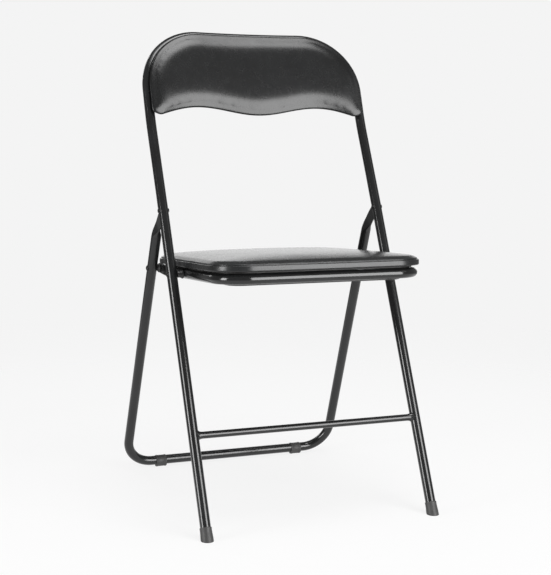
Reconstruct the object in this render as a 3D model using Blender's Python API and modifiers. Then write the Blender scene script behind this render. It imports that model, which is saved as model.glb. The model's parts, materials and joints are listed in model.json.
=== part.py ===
"""Padded steel folding chair.

An inverted-U front frame carries the backrest. A U-shaped rear frame is hinged to it under the backrest.
The seat turns on pins in the front legs, and a short link on each side ties it to the rear legs. The
seat's front edge swings up to fold the chair flat, and the rear legs come forward with it.

Metres, +Z up, +X to one side, +Y to the back. The chair is symmetric about X = 0 and stands on Z = 0.
"""

import math

import bmesh
import bpy
import numpy as np
from mathutils import Matrix, Vector

# Driving dimensions: tubes
TUBE_R = 0.0085
TUBE_WALL = 0.0012
STRETCHER_R = 0.0057
RING_R = 0.00825
GAP = 0.0003

# Driving dimensions: front frame
FRONT_HALF = 0.1965
FRONT_LEAN = math.radians(24.5)
PIVOT_Z = 0.4965
BACK_LEAN = math.radians(25.8)
BACK_RUN = 0.164
REST_LEAN = math.radians(19.4)
REST_RUN = 0.1606
TOP_CORNER_R = 0.102
TOP_BOW = 0.012
STRETCHER_Z = 0.150
FILLET_R = 0.0085
FILLET_LENGTH = 0.007
FOOT_LENGTH = 0.0205
FOOT_TOP_R = TUBE_R + 0.0010
FOOT_BOTTOM_R = TUBE_R + 0.0016
FOOT_FLOOR = 0.005

# Driving dimensions: rear frame
REAR_REACH = 0.4553
REAR_SPLAY = 0.0074
REAR_TOP_BEHIND = 0.0435
REAR_CORNER_R = 0.049
REAR_BEND_DROP = 0.046
REAR_BEND_PULL = 0.024
PLATE_HALF_THICK = 0.00175
PLATE_HALF_WIDE = 0.0110
PLATE_FLAT_FROM = 0.45
NOSE_CLEARANCE = 0.0007
SLOT_CLEARANCE = 0.0005
REAR_FOLD_OFFSET = 0.024
GLIDE_WALL = 0.0024
GLIDE_DROP = 0.0014
GLIDE_SOLE = 0.0004
GLIDE_LENGTH = 0.0205
GLIDE_X = 0.137

# Driving dimensions: seat
SEAT_SLOPE = math.radians(2.8)
SEAT_Z = 0.3961
SEAT_Z_AT = 0.150
SEAT_FRONT = -0.0096
SEAT_REAR = 0.353
SEAT_SIDE_GAP = 0.0075
SEAT_CORNER_R = 0.057
RING_INSET = 0.003
BOARD_INSET = 0.012
BOARD_THICK = 0.003
CUSHION_BAND = 0.0115
CUSHION_CROWN = 0.0125
CUSHION_EASE = 0.003
UNDER_INSET = 0.030
UNDER_DROP = 0.0035
UNDER_THICK = 0.006

# Driving dimensions: backrest
PAD_LOW_CORNER = 0.0125
PAD_TIP = 0.0068
PAD_TIP_IN = 0.0145
PAD_PEAK = 0.0238
PAD_DIP = 0.0110
PAD_TOP_INSET = 0.001
BACK_BOARD = 0.003
PAD_EDGE = 0.006
PAD_CROWN = 0.007

# Driving dimensions: pins, washers, links and screws
RIVET_R = 0.003
RIVET_HEAD_R = 0.0042
RIVET_HEAD_H = 0.0014
REAR_HEAD_R = 0.0050
REAR_HEAD_H = 0.0022
BUSH_R = 0.0050
WASHER_R = 0.0085
SPACER_R = 0.0055
SPACER_END_R = 0.0075
LINK_THICK = 0.003
LINK_STANDOFF = 0.0035
LINK_HALF = 0.0085
LINK_PIN_BACK = 0.1138
CONE_SMALL_R = 0.0042
CONE_LARGE_R = 0.0078
SCREW_R = 0.0018
SCREW_HEAD_R = 0.0042
SCREW_HEAD_H = 0.0020
SCREW_DEPTH = 0.0015
SEAT_SCREW_Y = (0.060, 0.280)
SEAT_SCREW_X = 0.095
REST_SCREW_UP = 0.050
REST_SCREW_X = 0.070

TUBE_SIDES = 4
CORNER_STEPS = 7
PLATE_STEPS = 10
BOW_STRIPS = 10

# Derived places. Y runs back from the middle of the chair's footprint.
FOOT_OVERHANG = FOOT_BOTTOM_R / math.cos(FRONT_LEAN)
GLIDE_R = TUBE_R + GLIDE_WALL
REAR_BAR_Z = GLIDE_R - GLIDE_SOLE + GLIDE_DROP
REAR_HALF_HIGH = FRONT_HALF
REAR_HALF_LOW = FRONT_HALF + REAR_SPLAY
FOOT_Y = (FOOT_OVERHANG - REAR_REACH - GLIDE_R) / 2
PIVOT_Y = FOOT_Y + PIVOT_Z * math.tan(FRONT_LEAN)
REAR_Y = FOOT_Y + REAR_REACH
REAR_LEAN = math.atan((REAR_Y - PIVOT_Y - REAR_TOP_BEHIND) / (PIVOT_Z - REAR_BEND_DROP - REAR_BAR_Z))
FRONT_INNER = FRONT_HALF - TUBE_R
FRONT_OUTER = FRONT_HALF + TUBE_R
PAD_TIP_X = FRONT_HALF - PAD_TIP_IN
REST_Y = PIVOT_Y + BACK_RUN * math.sin(BACK_LEAN)
REST_Z = PIVOT_Z + BACK_RUN * math.cos(BACK_LEAN)
REST_UP = Vector((0, math.sin(REST_LEAN), math.cos(REST_LEAN)))
REST_OUT = Vector((0, -math.cos(REST_LEAN), math.sin(REST_LEAN)))
LEG_UP = Vector((0, math.sin(FRONT_LEAN), math.cos(FRONT_LEAN)))
SEAT_BACK = Vector((0, math.cos(SEAT_SLOPE), -math.sin(SEAT_SLOPE)))
SEAT_UP = Vector((0, math.sin(SEAT_SLOPE), math.cos(SEAT_SLOPE)))
SEAT_HALF = FRONT_INNER - SEAT_SIDE_GAP
RING_OUTER = SEAT_HALF - RING_INSET
SIDES = (("left", -1), ("right", 1))
X_AXIS = Vector((1, 0, 0))


def seat_point(x, y, up):
    """A point above the ring's centre plane, with Y measured from the front feet along the seat."""
    start = Vector((0, FOOT_Y + SEAT_Z_AT, SEAT_Z))
    return start + Vector((x, 0, 0)) + (y - SEAT_Z_AT) * SEAT_BACK + up * SEAT_UP


def on_front_leg(z):
    return Vector((0, FOOT_Y + z * math.tan(FRONT_LEAN), z))


def rear_leg_y(z):
    return REAR_Y - (z - REAR_BAR_Z) * math.tan(REAR_LEAN)


def seat_pin_place():
    """Where the front leg's centre line meets the seat ring's centre plane."""
    start = seat_point(0, SEAT_Z_AT, 0)
    rise = math.tan(FRONT_LEAN)
    slope = math.tan(SEAT_SLOPE)
    z = (start.z + slope * (start.y - FOOT_Y)) / (1 + slope * rise)
    return on_front_leg(z)


def turn_about(point, centre, angle):
    """The point turned by the angle about the +X line through the centre."""
    return centre + Matrix.Rotation(angle, 3, "X") @ (point - centre)


PIVOT = Vector((0, PIVOT_Y, PIVOT_Z))
SEAT_PIN = seat_pin_place()


def rear_pin_place():
    """The rear leg's pin: on the leg's centre line, at a set distance from the seat pin."""
    low, high = REAR_BAR_Z, PIVOT_Z - REAR_BEND_DROP
    for _ in range(60):
        z = (low + high) / 2
        far = (Vector((0, rear_leg_y(z), z)) - SEAT_PIN).length > LINK_PIN_BACK
        low, high = (z, high) if far else (low, z)
    return Vector((0, rear_leg_y(z), z))


REAR_PIN = rear_pin_place()
SEAT_FOLD = -(math.pi / 2 + FRONT_LEAN - SEAT_SLOPE)


def rear_fold_angle():
    """The turn that lays the rear legs along the front legs, a fixed distance behind them."""
    along = Vector((0, REAR_Y, REAR_BAR_Z)) - PIVOT
    start = math.atan2(along.z, along.y)
    end = math.atan2(-LEG_UP.z, -LEG_UP.y) + math.asin(REAR_FOLD_OFFSET / along.length)
    return (end - start + math.pi) % (2 * math.pi) - math.pi


REAR_FOLD = rear_fold_angle()


def link_pin_place():
    """The link's pin, on the seat ring's centre plane, in reach of the rear pin when open and when folded."""
    span = SEAT_PIN - REAR_PIN
    folded_span = SEAT_PIN - turn_about(REAR_PIN, PIVOT, REAR_FOLD)
    folded_back = Matrix.Rotation(SEAT_FOLD, 3, "X") @ SEAT_BACK
    reach = SEAT_BACK.dot(span) - folded_back.dot(folded_span)
    return SEAT_PIN + (folded_span.length_squared - span.length_squared) / (2 * reach) * SEAT_BACK


LINK_PIN = link_pin_place()
LINK_INNER = RING_OUTER + LINK_STANDOFF
LINK_OUTER = LINK_INNER + LINK_THICK
NOSE_R = TUBE_R - TUBE_WALL - NOSE_CLEARANCE
REAR_PIN_HALF = REAR_HALF_HIGH + (REAR_HALF_LOW - REAR_HALF_HIGH) * (
    (PIVOT_Z - REAR_BEND_DROP - REAR_PIN.z) / (PIVOT_Z - REAR_BEND_DROP - REAR_BAR_Z)
)


# Collections, materials and joints

def clear_scene():
    for thing in list(bpy.data.objects):
        bpy.data.objects.remove(thing, do_unlink=True)


def new_collection(name):
    collection = bpy.data.collections.new(name)
    bpy.context.scene.collection.children.link(collection)
    return collection


def new_material(name, colour, roughness, metallic=0.0):
    material = bpy.data.materials.new(name)
    material.use_nodes = True
    shader = material.node_tree.nodes["Principled BSDF"]
    shader.inputs["Base Color"].default_value = (*colour, 1)
    shader.inputs["Roughness"].default_value = roughness
    shader.inputs["Metallic"].default_value = metallic
    return material


clear_scene()
PARTS = new_collection("folding_chair")
CUTTERS = new_collection("cutters")
PAINT = new_material("black_paint", (0.012, 0.012, 0.013), 0.25)
VINYL = new_material("black_vinyl", (0.02, 0.021, 0.022), 0.4)
PLASTIC = new_material("grey_plastic", (0.03, 0.031, 0.033), 0.6)
RIVET_STEEL = new_material("black_rivet", (0.02, 0.02, 0.02), 0.35, 0.6)
BOARD = new_material("backing_board", (0.04, 0.035, 0.03), 0.8)
NYLON = new_material("nylon", (0.025, 0.025, 0.026), 0.5)


def new_joint(name, place):
    empty = bpy.data.objects.new(name, None)
    empty.location = place
    PARTS.objects.link(empty)
    return empty


FRONT_BODY = new_joint("front_frame_origin", (0, 0, 0))
REAR_BODY = new_joint("rear_frame_hinge", PIVOT)
SEAT_BODY = new_joint("seat_hinge", SEAT_PIN)
LINK_BODIES = {name: new_joint(f"link_{name}_hinge", LINK_PIN) for name, _ in SIDES}


def add_object(name, mesh, material, body, matrix=None):
    """Links a mesh whose matrix is in world coordinates, and parents it to its body's joint."""
    thing = bpy.data.objects.new(name, mesh)
    mesh.materials.clear()
    mesh.materials.append(material)
    mesh.shade_smooth()
    mesh.set_sharp_from_angle(angle=math.radians(35))
    PARTS.objects.link(thing)
    thing.parent = body
    thing.matrix_parent_inverse = Matrix.Translation(body.location).inverted()
    thing.matrix_basis = Matrix.Identity(4) if matrix is None else matrix
    return thing


def finish_mesh(name, form):
    """A mesh from a bmesh, with doubles merged and faces pointing out."""
    bmesh.ops.remove_doubles(form, verts=form.verts, dist=1e-6)
    bmesh.ops.recalc_face_normals(form, faces=form.faces)
    mesh = bpy.data.meshes.new(name)
    form.to_mesh(mesh)
    form.free()
    return mesh


# Shapes

def curve_tube(name, points, radius, closed=False, capped=True):
    """The mesh of a round tube along a line of points."""
    curve = bpy.data.curves.new(name, "CURVE")
    curve.dimensions = "3D"
    curve.bevel_depth = radius
    curve.bevel_resolution = TUBE_SIDES
    curve.use_fill_caps = capped
    curve.twist_mode = "Z_UP" if closed else "MINIMUM"
    spline = curve.splines.new("POLY")
    spline.points.add(len(points) - 1)
    for spot, point in zip(spline.points, points):
        spot.co = (*point, 1)
    spline.use_cyclic_u = closed
    guide = bpy.data.objects.new(name + "_guide", curve)
    CUTTERS.objects.link(guide)
    bpy.context.view_layer.update()
    graph = bpy.context.evaluated_depsgraph_get()
    mesh = bpy.data.meshes.new_from_object(guide.evaluated_get(graph))
    bpy.data.objects.remove(guide)
    form = bmesh.new()
    form.from_mesh(mesh)
    bpy.data.meshes.remove(mesh)
    return finish_mesh(name, form)


def add_wall(thing, thickness):
    wall = thing.modifiers.new("wall", "SOLIDIFY")
    wall.thickness = thickness
    wall.offset = -1
    wall.use_even_offset = True


def turned(name, profile, place, axis, material, body, closed=False, steps=12):
    """A turned piece: the profile's (radius, height) points run down its outer side, height along the axis."""
    form = bmesh.new()
    spots = [form.verts.new((radius, 0, height)) for radius, height in profile]
    edges = [form.edges.new(pair) for pair in zip(spots, spots[1:])]
    if closed:
        edges.append(form.edges.new((spots[-1], spots[0])))
    bmesh.ops.spin(
        form, geom=spots + edges, axis=(0, 0, 1), cent=(0, 0, 0), angle=2 * math.pi, steps=steps, use_merge=True
    )
    mesh = finish_mesh(name, form)
    matrix = Matrix.Translation(place) @ Vector(axis).to_track_quat("Z", "X").to_matrix().to_4x4()
    return add_object(name, mesh, material, body, matrix)


def add_cutter(name, mesh, matrix):
    cutter = bpy.data.objects.new(name, mesh)
    cutter.matrix_world = matrix
    cutter.hide_render = True
    cutter.display_type = "WIRE"
    CUTTERS.objects.link(cutter)
    return cutter


def rod_cutter(name, place, axis, radius, length, steps=16):
    """A cylinder centred on a place, along an axis."""
    form = bmesh.new()
    bmesh.ops.create_cone(
        form, cap_ends=True, segments=steps, radius1=radius, radius2=radius, depth=length
    )
    mesh = finish_mesh(name, form)
    turn = Vector(axis).to_track_quat("Z", "X").to_matrix().to_4x4()
    return add_cutter(name, mesh, Matrix.Translation(place) @ turn)


def box_cutter(name, low, high):
    form = bmesh.new()
    size = Vector(high) - Vector(low)
    matrix = Matrix.Translation((Vector(high) + Vector(low)) / 2) @ Matrix.Diagonal((*size, 1))
    bmesh.ops.create_cube(form, size=1, matrix=matrix)
    return add_cutter(name, finish_mesh(name, form), Matrix.Identity(4))


def cut(thing, *cutters):
    for cutter in cutters:
        hole = thing.modifiers.new(cutter.name, "BOOLEAN")
        hole.operation = "DIFFERENCE"
        hole.solver = "EXACT"
        hole.object = cutter


def rounded_outline(half, front, rear, radius, steps=CORNER_STEPS):
    """Plan points of a rounded rectangle, anticlockwise from the front right corner."""
    outline = []
    corners = ((half, front, -90), (half, rear, 0), (-half, rear, 90), (-half, front, 180))
    for x, y, start in corners:
        centre_x = x - math.copysign(radius, x)
        centre_y = y + (radius if y == front else -radius)
        for step in range(steps + 1):
            angle = math.radians(start + 90 * step / steps)
            outline.append((centre_x + radius * math.cos(angle), centre_y + radius * math.sin(angle)))
    return outline


def slab_form(layers):
    """A closed bmesh through outlines of equal point count, capped at both ends."""
    form = bmesh.new()
    rings = [[form.verts.new(point) for point in layer] for layer in layers]
    count = len(rings[0])
    for lower, upper in zip(rings, rings[1:]):
        for i in range(count):
            j = (i + 1) % count
            form.faces.new((lower[i], lower[j], upper[j], upper[i]))
    form.faces.new(rings[0][::-1])
    form.faces.new(rings[-1])
    return form


def slab(name, layers):
    return finish_mesh(name, slab_form(layers))


# Front frame

def rest_bow(x):
    """How far the backrest bar stands behind the straight plane of its legs."""
    share = min(abs(x) / FRONT_HALF, 1)
    return TOP_BOW * (1 - share * share)


def rest_point(x, up, out):
    """A point in the backrest's bowed plane: up from the bend in the legs, and out towards the sitter."""
    base = Vector((x, REST_Y, REST_Z))
    return base + up * REST_UP + (out - rest_bow(x)) * REST_OUT


def front_path():
    """The front frame's centre line from the left foot over the top to the right foot."""
    rise = FOOT_FLOOR + 0.002
    side = [on_front_leg(rise), Vector((0, PIVOT_Y, PIVOT_Z))]
    down = Vector((0, -math.sin(BACK_LEAN), -math.cos(BACK_LEAN)))
    bend = Vector((0, REST_Y, REST_Z))
    side += [bend + 0.012 * down, bend + 0.004 * down, bend + 0.004 * REST_UP, bend + 0.012 * REST_UP]
    right = [Vector((FRONT_HALF, point.y, point.z)) for point in side]
    for step in range(CORNER_STEPS + 1):
        angle = math.pi / 2 * step / CORNER_STEPS
        x = FRONT_HALF - TOP_CORNER_R * (1 - math.cos(angle))
        up = REST_RUN - TOP_CORNER_R * (1 - math.sin(angle))
        right.append(rest_point(x, up, 0))
    flat = FRONT_HALF - TOP_CORNER_R
    right += [rest_point(flat * share, REST_RUN, 0) for share in (0.5, 0)]
    left = [Vector((-point.x, point.y, point.z)) for point in right[:-1]]
    return left + right[::-1]


def make_front_frame(holes):
    mesh = curve_tube("front_frame_tube", front_path(), TUBE_R, capped=False)
    tube = add_object("front_frame_tube", mesh, PAINT, FRONT_BODY)
    add_wall(tube, TUBE_WALL)
    cut(tube, *holes)


def make_stretcher():
    """The cross bar between the front legs, and the weld fillet at each end."""
    middle = on_front_leg(STRETCHER_Z)
    half = FRONT_INNER - GAP
    hollow = STRETCHER_R - TUBE_WALL
    profile = [(STRETCHER_R, half), (STRETCHER_R, -half), (hollow, -half), (hollow, half)]
    turned("front_stretcher", profile, middle, X_AXIS, PAINT, FRONT_BODY, closed=True)
    bore = STRETCHER_R + GAP
    start = FRONT_INNER - FILLET_LENGTH
    shape = [(bore, 0), (bore + 0.0004, 0), (bore + 0.0010, 0.5 * FILLET_LENGTH)]
    shape += [(FILLET_R, FILLET_LENGTH), (FILLET_R, FILLET_LENGTH + TUBE_R), (bore, FILLET_LENGTH + TUBE_R)]
    for name, side in SIDES:
        place = Vector((side * start, middle.y, middle.z))
        fillet = turned(
            f"stretcher_weld_{name}", shape, place, side * X_AXIS, PAINT, FRONT_BODY, closed=True, steps=16
        )
        leg = Vector((side * FRONT_HALF, middle.y, middle.z))
        cut(fillet, rod_cutter(f"leg_clearance_{name}", leg, LEG_UP, TUBE_R + GAP, 0.08, steps=24))


def make_feet():
    """Plastic ferrules, each a socket on the leg's end with its sole cut level with the floor."""
    bore = TUBE_R + GAP
    top = FOOT_LENGTH
    profile = [(0, FOOT_FLOOR), (bore, FOOT_FLOOR), (bore, top), (FOOT_TOP_R, top), (FOOT_TOP_R, 0.6 * top)]
    profile += [(FOOT_BOTTOM_R, 0.2 * top), (FOOT_BOTTOM_R, -FOOT_BOTTOM_R), (0, -FOOT_BOTTOM_R)]
    floor = box_cutter("floor", (-0.5, -0.5, -0.1), (0.5, 0.5, 0))
    for name, side in SIDES:
        place = Vector((side * FRONT_HALF, FOOT_Y, 0))
        foot = turned(f"front_foot_{name}", profile, place, LEG_UP, PLASTIC, FRONT_BODY, steps=18)
        cut(foot, floor)


# Backrest

def rest_outline(inset=0.0, drop=0.0):
    """The backrest's outline as (x, up) points, anticlockwise from the middle of its lower edge."""
    half = FRONT_HALF - inset
    top = REST_RUN - PAD_TOP_INSET - inset
    radius = TOP_CORNER_R - inset
    right = []
    for step in range(9):
        x = PAD_TIP_X * step / 9
        share = x / PAD_TIP_X
        wave = 0.5 - 0.5 * math.cos(2 * math.pi * min(share / 1.176, 1))
        right.append((x, PAD_DIP + (PAD_PEAK - PAD_DIP) * wave + inset + drop))
    right.append((PAD_TIP_X - inset, PAD_TIP + inset + drop))
    right.append((half, PAD_LOW_CORNER + 0.4 * inset + drop))
    for step in range(CORNER_STEPS + 1):
        angle = math.pi / 2 * step / CORNER_STEPS
        right.append((half - radius * (1 - math.cos(angle)), top - radius * (1 - math.sin(angle))))
    right.append((0.5 * (half - radius), top))
    left = [(-x, up) for x, up in right[1:]]
    return right + [(0, top)] + left[::-1]


def bowed_slab(name, steps):
    """A slab through (inset, out) steps of the backrest's outline, cut into strips that follow the bow."""
    form = slab_form([[(x, up, out) for x, up in rest_outline(inset)] for inset, out in steps])
    for strip in range(1, BOW_STRIPS):
        x = FRONT_HALF * (2 * strip / BOW_STRIPS - 1)
        everything = form.verts[:] + form.edges[:] + form.faces[:]
        bmesh.ops.bisect_plane(form, geom=everything, dist=1e-6, plane_co=(x, 0, 0), plane_no=X_AXIS)
    for spot in form.verts:
        spot.co = rest_point(*spot.co)
    return finish_mesh(name, form)


def make_backrest():
    """A board screwed to the front of the frame, and the padded cover in front of it."""
    back = TUBE_R + GAP
    front = back + BACK_BOARD
    board = bowed_slab("backrest_board", [(0.003, back), (0.003, front)])
    board_object = add_object("backrest_board", board, BOARD, FRONT_BODY)
    start = front + GAP
    layers = [(0.0, 0.0), (0.0, PAD_EDGE - 0.002), (0.002, PAD_EDGE), (0.012, PAD_EDGE + 0.5 * PAD_CROWN)]
    layers.append((0.030, PAD_EDGE + PAD_CROWN))
    pad = bowed_slab("backrest_pad", [(inset, start + out) for inset, out in layers])
    add_object("backrest_pad", pad, VINYL, FRONT_BODY)
    return board_object


def rest_screw_places():
    """Two screws through the legs and two through the top bar, each at its tube's centre line."""
    legs = [("leg_" + name, rest_point(side * FRONT_HALF, REST_SCREW_UP, 0)) for name, side in SIDES]
    bar = [("bar_" + name, rest_point(side * REST_SCREW_X, REST_RUN, 0)) for name, side in SIDES]
    return legs + bar


def make_rest_screws(tube_cutters):
    """Each screw enters from the back, through both walls of the tube, and bites into the board."""
    reach = TUBE_R + GAP + SCREW_DEPTH
    under = -(TUBE_R + GAP)
    dome = under - SCREW_HEAD_H
    profile = [(0, reach), (SCREW_R, reach - 0.0008), (SCREW_R, under), (SCREW_HEAD_R, under)]
    profile += [(0.8 * SCREW_HEAD_R, under - 0.6 * SCREW_HEAD_H), (0, dome)]
    for name, place in rest_screw_places():
        turned(f"backrest_screw_{name}", profile, place, REST_OUT, RIVET_STEEL, FRONT_BODY, steps=12)
        cutter = rod_cutter(f"hole_{name}", place, REST_OUT, SCREW_R + GAP, 2 * reach + 0.001, steps=12)
        tube_cutters.append(cutter)


# Rear frame

def plate_half_wide(distance):
    """The flattened end is narrow round the pivot, inside the front leg, and widens outside it."""
    share = min(max((distance - 0.3 * NOSE_R) / (TUBE_R + 0.0025 - 0.3 * NOSE_R), 0), 1)
    return NOSE_R + (PLATE_HALF_WIDE - NOSE_R) * share * share * (3 - 2 * share)


def plate_line(steps):
    """Points of the bent centre line from the round leg up to the pivot."""
    start = Vector((0, rear_leg_y(PIVOT_Z - REAR_BEND_DROP), PIVOT_Z - REAR_BEND_DROP))
    bend = start + REAR_BEND_PULL * Vector((0, -math.sin(REAR_LEAN), math.cos(REAR_LEAN)))
    shares = [step / steps for step in range(steps + 1)]
    return [(1 - t) ** 2 * start + 2 * t * (1 - t) * bend + t * t * PIVOT for t in shares]


def rear_top_stations(inner):
    """The flattened top of the right rear leg as (centre, half thickness, half width, squareness)."""
    line = plate_line(PLATE_STEPS)
    tip = (line[-1] - line[-2]).normalized()
    stations = []
    for step, centre in enumerate(line):
        flatness = min(step / PLATE_STEPS / PLATE_FLAT_FROM, 1)
        stations.append((centre, flatness, plate_half_wide((centre - PIVOT).length)))
    for share in (0.5, 0.85, 0.98):
        stations.append((PIVOT + share * NOSE_R * tip, 1, NOSE_R * math.sqrt(1 - share * share)))
    wall = TUBE_WALL if inner else 0
    sections = []
    for centre, flatness, wide in stations:
        ease = flatness * flatness * (3 - 2 * flatness)
        thick = TUBE_R + (PLATE_HALF_THICK - TUBE_R) * ease - wall
        if inner and thick < 0.001:
            break
        half = TUBE_R + (wide - TUBE_R) * ease - wall
        sections.append((Vector((REAR_HALF_HIGH, centre.y, centre.z)), thick, half, 2 + 3 * ease))
    return sections


def rear_sections(inner):
    """Every section of the rear frame from the right leg's top, round the floor bar, to the left leg's top."""
    top = rear_top_stations(inner)[::-1]
    radius = TUBE_R - (TUBE_WALL if inner else 0)
    high = Vector((REAR_HALF_HIGH, rear_leg_y(PIVOT_Z - REAR_BEND_DROP), PIVOT_Z - REAR_BEND_DROP))
    low = Vector((REAR_HALF_LOW, REAR_Y, REAR_BAR_Z))
    up = (high - low).normalized()
    turn = math.acos(up.dot(X_AXIS))
    corner_up = low + REAR_CORNER_R * math.tan(turn / 2) * up
    normal = X_AXIS.cross(up).normalized()
    inward = normal.cross(up).normalized()
    inward = inward if inward.x < 0 else -inward
    centre = corner_up + REAR_CORNER_R * inward
    right = list(top)
    for share in (0.45, 0.9):
        right.append((high.lerp(corner_up, share), radius, radius, 2))
    for step in range(CORNER_STEPS + 1):
        angle = -(math.pi - turn) * step / CORNER_STEPS
        arm = Matrix.Rotation(angle, 3, normal) @ (corner_up - centre)
        right.append((centre + arm, radius, radius, 2))
    left = [(Vector((-c.x, c.y, c.z)), thick, wide, square) for c, thick, wide, square in right]
    return right + left[::-1]


def rear_mesh(name, inner):
    """A loft through the rear frame's sections: flat plates at its ends, round tube between."""
    sections = rear_sections(inner)
    count = 2 * (TUBE_SIDES + 2)
    centres = [section[0] for section in sections]
    rings = []
    for i, (centre, thick, wide, square) in enumerate(sections):
        along = centres[min(i + 1, len(centres) - 1)] - centres[max(i - 1, 0)]
        along.normalize()
        # The wide direction stays in the legs' own plane, and turns with the frame round its corners.
        across = Vector((0, -math.cos(REAR_LEAN), -math.sin(REAR_LEAN)))
        if abs(along.x) < 0.2:
            across = along.cross(X_AXIS)
            across *= math.copysign(1, -across.y)
        side = along.cross(across).normalized()
        across = side.cross(along).normalized()
        ring = []
        for k in range(count):
            angle = 2 * math.pi * k / count
            c, s = math.cos(angle), math.sin(angle)
            a = math.copysign(abs(c) ** (2 / square), c) * thick
            b = math.copysign(abs(s) ** (2 / square), s) * wide
            ring.append(centre + a * side + b * across)
        rings.append(ring)
    return slab(name, rings)


def make_rear_frame(holes):
    tube = add_object("rear_frame_tube", rear_mesh("rear_frame_tube", False), PAINT, REAR_BODY)
    bore = add_cutter("rear_bore", rear_mesh("rear_bore", True), Matrix.Identity(4))
    cut(tube, bore, *holes)


def make_glides():
    """Plastic sleeves on the floor bar, thicker below it, each with a narrow flat sole on the floor."""
    half = GLIDE_LENGTH / 2
    edge = 0.0012
    profile = [(0, half), (GLIDE_R - edge, half), (GLIDE_R, half - edge), (GLIDE_R, edge - half)]
    profile += [(GLIDE_R - edge, -half), (0, -half)]
    for name, side in SIDES:
        bar = Vector((side * GLIDE_X, REAR_Y, REAR_BAR_Z))
        place = bar - Vector((0, 0, GLIDE_DROP))
        glide = turned(f"rear_glide_{name}", profile, place, X_AXIS, PLASTIC, REAR_BODY, steps=18)
        bore = rod_cutter(f"glide_bore_{name}", bar, X_AXIS, TUBE_R + GAP, 2 * GLIDE_LENGTH, steps=24)
        cut(glide, bore, bpy.data.objects["floor"])


# Seat

def seat_outline(inset, radius=None):
    corner = SEAT_CORNER_R - inset if radius is None else radius
    return rounded_outline(SEAT_HALF - inset, SEAT_FRONT + inset, SEAT_REAR - inset, corner)


def seat_layer(inset, up):
    return [seat_point(x, y, up) for x, y in seat_outline(inset)]


def make_seat_ring(holes):
    points = [seat_point(x, y, 0) for x, y in seat_outline(RING_INSET + RING_R)]
    ring = add_object("seat_ring", curve_tube("seat_ring", points, RING_R, closed=True), PAINT, SEAT_BODY)
    add_wall(ring, TUBE_WALL)
    cut(ring, *holes)


def make_seat_panels():
    """The board on the ring, the padded cushion on the board, and the stiffening board inside and under the ring."""
    board_up = RING_R + GAP
    layers = [seat_layer(BOARD_INSET, board_up), seat_layer(BOARD_INSET, board_up + BOARD_THICK - GAP)]
    add_object("seat_board", slab("seat_board", layers), BOARD, SEAT_BODY)
    start = board_up + BOARD_THICK
    ease = CUSHION_EASE
    steps = [(0.7 * ease, 0), (0.0, ease), (0.0, CUSHION_BAND - ease), (ease, CUSHION_BAND)]
    steps += [(0.014, CUSHION_BAND + 0.5 * CUSHION_CROWN), (0.040, CUSHION_BAND + CUSHION_CROWN)]
    cushion = slab("seat_cushion", [seat_layer(inset, start + up) for inset, up in steps])
    add_object("seat_cushion", cushion, VINYL, SEAT_BODY)
    low = -RING_R - UNDER_DROP
    under = [(UNDER_INSET + 0.004, low), (UNDER_INSET, low + 0.003), (UNDER_INSET, low + UNDER_THICK)]
    lower = slab("seat_under_board", [seat_layer(inset, up) for inset, up in under])
    add_object("seat_under_board", lower, BOARD, SEAT_BODY)


# Pins, washers, spacers and links

def rivet_profile(low, high, head_low=True, head_r=RIVET_HEAD_R, head_h=RIVET_HEAD_H):
    """A rivet's outline between two faces, with a domed head above and, unless it ends flat, below."""
    profile = [(0, high + head_h), (0.75 * head_r, high + 0.7 * head_h), (head_r, high), (RIVET_R, high)]
    if head_low:
        profile += [(RIVET_R, low), (head_r, low), (0.75 * head_r, low - 0.7 * head_h), (0, low - head_h)]
    else:
        profile += [(RIVET_R, low), (0, low)]
    return profile


def ring_profile(inner, outer_low, outer_high, low, high):
    return [(outer_high, high), (outer_low, low), (inner, low), (inner, high)]


def slot_cutter(side, name):
    """The slot in the back of the front leg that the rear leg's flattened end swings in."""
    leg_back = LEG_UP.cross(X_AXIS)
    heights = []
    for turn in (0, REAR_FOLD / 2, REAR_FOLD):
        line = [turn_about(point, PIVOT, turn) - PIVOT for point in plate_line(4 * PLATE_STEPS)]
        for point, after in zip(line, line[1:]):
            edge = plate_half_wide(point.length) * (after - point).normalized().cross(X_AXIS)
            for spot in (point + edge, point - edge):
                if 0 < spot.dot(leg_back) < TUBE_R + GAP:
                    heights.append(spot.dot(LEG_UP))
    low, high = min(heights) - 2 * SLOT_CLEARANCE, max(heights) + 2 * SLOT_CLEARANCE
    size = Vector((2 * (PLATE_HALF_THICK + SLOT_CLEARANCE), 2 * TUBE_R, high - low))
    centre = PIVOT + side * FRONT_HALF * X_AXIS + TUBE_R * leg_back + (low + high) / 2 * LEG_UP
    turn = Matrix((X_AXIS, leg_back, LEG_UP)).transposed().to_4x4()
    form = bmesh.new()
    bmesh.ops.create_cube(form, size=1, matrix=Matrix.Diagonal((*size, 1)))
    return add_cutter(f"hinge_slot_{name}", finish_mesh("hinge_slot", form), Matrix.Translation(centre) @ turn)


def make_pivots():
    """The hinges between the two frames: rivet, and a bush on each side of the flattened end, in the leg."""
    rivet = rivet_profile(FRONT_INNER - GAP, FRONT_OUTER + GAP)
    near = PLATE_HALF_THICK + GAP
    far = math.sqrt((TUBE_R - TUBE_WALL) ** 2 - BUSH_R**2) - GAP
    for name, side in SIDES:
        axis = side * X_AXIS
        turned(f"pivot_rivet_{name}", rivet, PIVOT, axis, RIVET_STEEL, FRONT_BODY)
        for where, low, high in (("inner", -far, -near), ("outer", near, far)):
            bush = ring_profile(RIVET_R + GAP, BUSH_R, BUSH_R, FRONT_HALF + low, FRONT_HALF + high)
            title = f"pivot_bush_{where}_{name}"
            turned(title, bush, PIVOT, axis, NYLON, FRONT_BODY, closed=True)


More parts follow.
